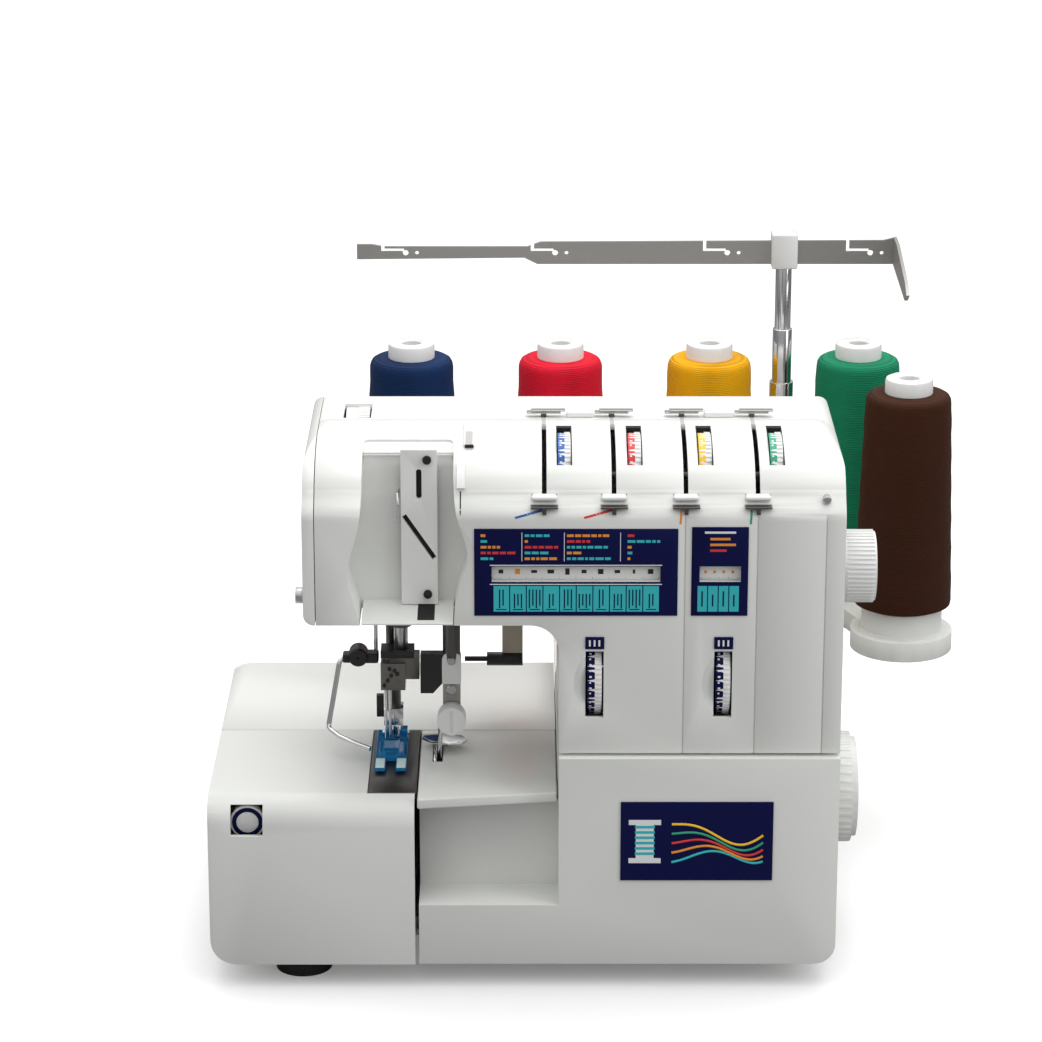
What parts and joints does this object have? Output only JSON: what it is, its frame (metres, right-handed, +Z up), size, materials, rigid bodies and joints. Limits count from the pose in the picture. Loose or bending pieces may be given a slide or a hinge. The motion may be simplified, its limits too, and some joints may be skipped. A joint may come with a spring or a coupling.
{
  "type": "serger overlock machine",
  "caption": "Domestic overlock sewing machine with thread cones on a rear stand, a telescopic thread guide, tension dials and opening covers.",
  "frame": {"origin": "bottom centre of the whole machine, thread stand included, on the surface it stands on", "axes": "+X to the operator's right along the bed, +Y away from the operator, +Z up"},
  "size_m": [0.439, 0.341, 0.363],
  "materials": {
    "shell": "fine satin moulded plastic",
    "white_plastic": "satin white",
    "label": "navy printed plate",
    "chrome": "polished",
    "steel": "ground",
    "dark_steel": "dark ground",
    "cast_frame": "as cast",
    "black_plastic": "satin black",
    "rubber": "matte",
    "foot_blue": "translucent blue",
    "tan_metal": "satin",
    "motor_shell": "satin",
    "scale_blue": "ribbed white wheel with a blue scale",
    "scale_red": "ribbed white wheel with a red scale",
    "scale_yellow": "ribbed white wheel with a yellow scale",
    "scale_green": "ribbed white wheel with a green scale",
    "thread_blue": "cross-wound thread",
    "thread_red": "cross-wound thread",
    "thread_yellow": "cross-wound thread",
    "thread_green": "cross-wound thread",
    "thread_brown": "cross-wound thread"
  },
  "bodies": {
    "body": {"base_tray": "shell", "feet": "rubber", "main_frame": "cast_frame", "lower_casing": "shell", "rear_bed_cover": "shell", "front_casing": "shell", "rear_casing": "shell", "face_cover": "shell", "case_screws": "steel", "takeup_cover": "white_plastic", "label_plates": "label", "thread_guides": "chrome", "needle_plate": "dark_steel", "finger_guard": "chrome", "lower_knife": "chrome", "motor": "motor_shell", "drive_belt": "rubber", "shelf_panel": "shell", "spool_stand": "shell", "mast_base": "chrome", "power_inlet": "black_plastic"},
    "selector": {"selector_knob": "white_plastic"},
    "tension_1": {"tension_dial_1": "scale_blue"},
    "tension_2": {"tension_dial_2": "scale_red"},
    "tension_3": {"tension_dial_3": "scale_yellow"},
    "tension_4": {"tension_dial_4": "scale_green"},
    "ratio_wheel": {"feed_ratio_dial": "white_plastic"},
    "length_wheel": {"stitch_length_dial": "white_plastic"},
    "pressure_wheel": {"pressure_dial": "white_plastic"},
    "width_wheel": {"cutting_width_dial": "white_plastic"},
    "feed": {"feed_dogs": "steel"},
    "needle_unit": {"needle_bar": "steel", "needle_clamp": "dark_steel", "needles": "chrome"},
    "presser": {"presser_bar": "steel", "foot_holder": "chrome"},
    "foot": {"presser_foot": "foot_blue"},
    "lifter": {"foot_lifter": "tan_metal", "lifter_grip": "black_plastic"},
    "knife_unit": {"knife_arm": "white_plastic", "upper_knife": "chrome"},
    "knife_lock": {"knife_knob": "white_plastic"},
    "looper_up": {"upper_looper": "steel"},
    "looper_low": {"lower_looper": "steel"},
    "drive": {"main_shaft": "steel", "handwheel": "shell"},
    "motor_rotor": {"motor_pulley": "steel"},
    "plate_cover": {"cloth_plate": "shell"},
    "cover_slider": {"cover_hinge_rod": "steel"},
    "front_cover": {"looper_cover": "shell"},
    "cone_1": {"thread_cone_1": "thread_blue"},
    "cone_2": {"thread_cone_2": "thread_red"},
    "cone_3": {"thread_cone_3": "thread_yellow"},
    "cone_4": {"thread_cone_4": "thread_green"},
    "cone_5": {"thread_cone_5": "thread_brown"},
    "mast_mid": {"mast_tube": "chrome"},
    "mast_top": {"mast_rod": "chrome", "guide_clamp": "white_plastic", "guide_bar": "steel"},
    "rocker": {"power_switch": "black_plastic"}
  },
  "joints": [
    {"name": "handwheel_spin", "type": "hinge", "parent": "body", "child": "drive", "pos_m": [0.0555, -0.0755, 0.084], "axis": [1, 0, 0], "continuous": true},
    {"name": "motor_spin", "type": "hinge", "parent": "body", "child": "motor_rotor", "pos_m": [0.1055, 0.0145, 0.06], "axis": [1, 0, 0], "continuous": true},
    {"name": "needle_slide", "type": "slide", "parent": "body", "child": "needle_unit", "axis": [0, 0, 1], "range_m": [-0.011, 0.013]},
    {"name": "knife_slide", "type": "slide", "parent": "body", "child": "knife_unit", "axis": [0, 0, 1], "range_m": [-0.003, 0.0035]},
    {"name": "upper_looper_swing", "type": "hinge", "parent": "body", "child": "looper_up", "pos_m": [-0.0485, -0.0725, 0.044], "axis": [0, 1, 0], "range_deg": [-7, 8]},
    {"name": "lower_looper_swing", "type": "hinge", "parent": "body", "child": "looper_low", "pos_m": [-0.0725, -0.0825, 0.044], "axis": [0, 1, 0], "range_deg": [-7, 8]},
    {"name": "feed_slide", "type": "slide", "parent": "body", "child": "feed", "axis": [0, 1, 0], "range_m": [-0.0018, 0.0021]},
    {"name": "lifter_swing", "type": "hinge", "parent": "body", "child": "lifter", "pos_m": [-0.0495, -0.0385, 0.221], "axis": [1, 0, 0], "range_deg": [0, 50]},
    {"name": "presser_lift", "type": "slide", "parent": "body", "child": "presser", "axis": [0, 0, 1], "range_m": [0, 0.006]},
    {"name": "foot_tilt", "type": "hinge", "parent": "presser", "child": "foot", "pos_m": [-0.1165, -0.0805, 0.1195], "axis": [-1, 0, 0], "range_deg": [0, 8]},
    {"name": "knife_knob_turn", "type": "hinge", "parent": "knife_unit", "child": "knife_lock", "pos_m": [-0.084, -0.1105, 0.139], "axis": [0, 1, 0], "range_deg": [0, 90]},
    {"name": "feed_ratio_turn", "type": "hinge", "parent": "body", "child": "ratio_wheel", "pos_m": [-0.004, -0.1435, 0.1805], "axis": [1, 0, 0], "range_deg": [-120, 120]},
    {"name": "stitch_length_turn", "type": "hinge", "parent": "body", "child": "length_wheel", "pos_m": [0.0668, -0.1435, 0.1805], "axis": [1, 0, 0], "range_deg": [-120, 120]},
    {"name": "pressure_turn", "type": "hinge", "parent": "body", "child": "pressure_wheel", "pos_m": [-0.136, -0.0775, 0.298], "axis": [1, 0, 0], "range_deg": [-150, 150]},
    {"name": "cutting_width_turn", "type": "hinge", "parent": "body", "child": "width_wheel", "pos_m": [-0.1975, -0.1605, 0.097], "axis": [0, 1, 0], "range_deg": [-60, 60]},
    {"name": "selector_turn", "type": "hinge", "parent": "body", "child": "selector", "pos_m": [0.0555, -0.1425, 0.242], "axis": [1, 0, 0], "range_deg": [-150, 150]},
    {"name": "cloth_plate_swing", "type": "hinge", "parent": "body", "child": "plate_cover", "pos_m": [-0.2173, -0.0627, 0.06], "axis": [0, 0, -1], "range_deg": [0, 90]},
    {"name": "looper_cover_slide", "type": "slide", "parent": "body", "child": "cover_slider", "axis": [1, 0, 0], "range_m": [0, 0.01]},
    {"name": "looper_cover_drop", "type": "hinge", "parent": "cover_slider", "child": "front_cover", "pos_m": [0.0155, -0.1625, 0.022], "axis": [1, 0, 0], "range_deg": [0, 85]},
    {"name": "mast_lower", "type": "slide", "parent": "body", "child": "mast_mid", "axis": [0, 0, -1], "range_m": [0, 0.02]},
    {"name": "mast_top_lower", "type": "slide", "parent": "mast_mid", "child": "mast_top", "axis": [0, 0, -1], "range_m": [0, 0.025]},
    {"name": "power_rocker", "type": "hinge", "parent": "body", "child": "rocker", "pos_m": [0.1285, 0.0155, 0.084], "axis": [0, 0, 1], "range_deg": [0, 12]},
    {"name": "tension_turn_1", "type": "hinge", "parent": "body", "child": "tension_1", "pos_m": [-0.0208, -0.1225, 0.288], "axis": [1, 0, 0], "range_deg": [-140, 140]},
    {"name": "tension_turn_2", "type": "hinge", "parent": "body", "child": "tension_2", "pos_m": [0.0178, -0.1225, 0.288], "axis": [1, 0, 0], "range_deg": [-140, 140]},
    {"name": "tension_turn_3", "type": "hinge", "parent": "body", "child": "tension_3", "pos_m": [0.0565, -0.1225, 0.288], "axis": [1, 0, 0], "range_deg": [-140, 140]},
    {"name": "tension_turn_4", "type": "hinge", "parent": "body", "child": "tension_4", "pos_m": [0.0956, -0.1225, 0.288], "axis": [1, 0, 0], "range_deg": [-140, 140]},
    {"name": "cone_spin_1", "type": "hinge", "parent": "body", "child": "cone_1", "pos_m": [-0.1125, 0.1395, 0.2], "axis": [0, 0, 1], "continuous": true},
    {"name": "cone_spin_2", "type": "hinge", "parent": "body", "child": "cone_2", "pos_m": [-0.02, 0.1395, 0.2], "axis": [0, 0, 1], "continuous": true},
    {"name": "cone_spin_3", "type": "hinge", "parent": "body", "child": "cone_3", "pos_m": [0.0725, 0.1395, 0.2], "axis": [0, 0, 1], "continuous": true},
    {"name": "cone_spin_4", "type": "hinge", "parent": "body", "child": "cone_4", "pos_m": [0.165, 0.1395, 0.2], "axis": [0, 0, 1], "continuous": true},
    {"name": "cone_spin_5", "type": "hinge", "parent": "body", "child": "cone_5", "pos_m": [0.1885, 0.0595, 0.2], "axis": [0, 0, 1], "continuous": true}
  ],
  "couplings": [
    {"joint": "motor_spin", "follows": "handwheel_spin", "ratio": 3.25},
    {"joint": "knife_slide", "follows": "needle_slide", "ratio": 0.25},
    {"joint": "upper_looper_swing", "follows": "needle_slide", "rad_per_m": 9},
    {"joint": "lower_looper_swing", "follows": "needle_slide", "rad_per_m": -9},
    {"joint": "feed_slide", "follows": "needle_slide", "ratio": 0.15},
    {"joint": "lifter_swing", "follows": "presser_lift", "rad_per_m": 145.44}
  ]
}
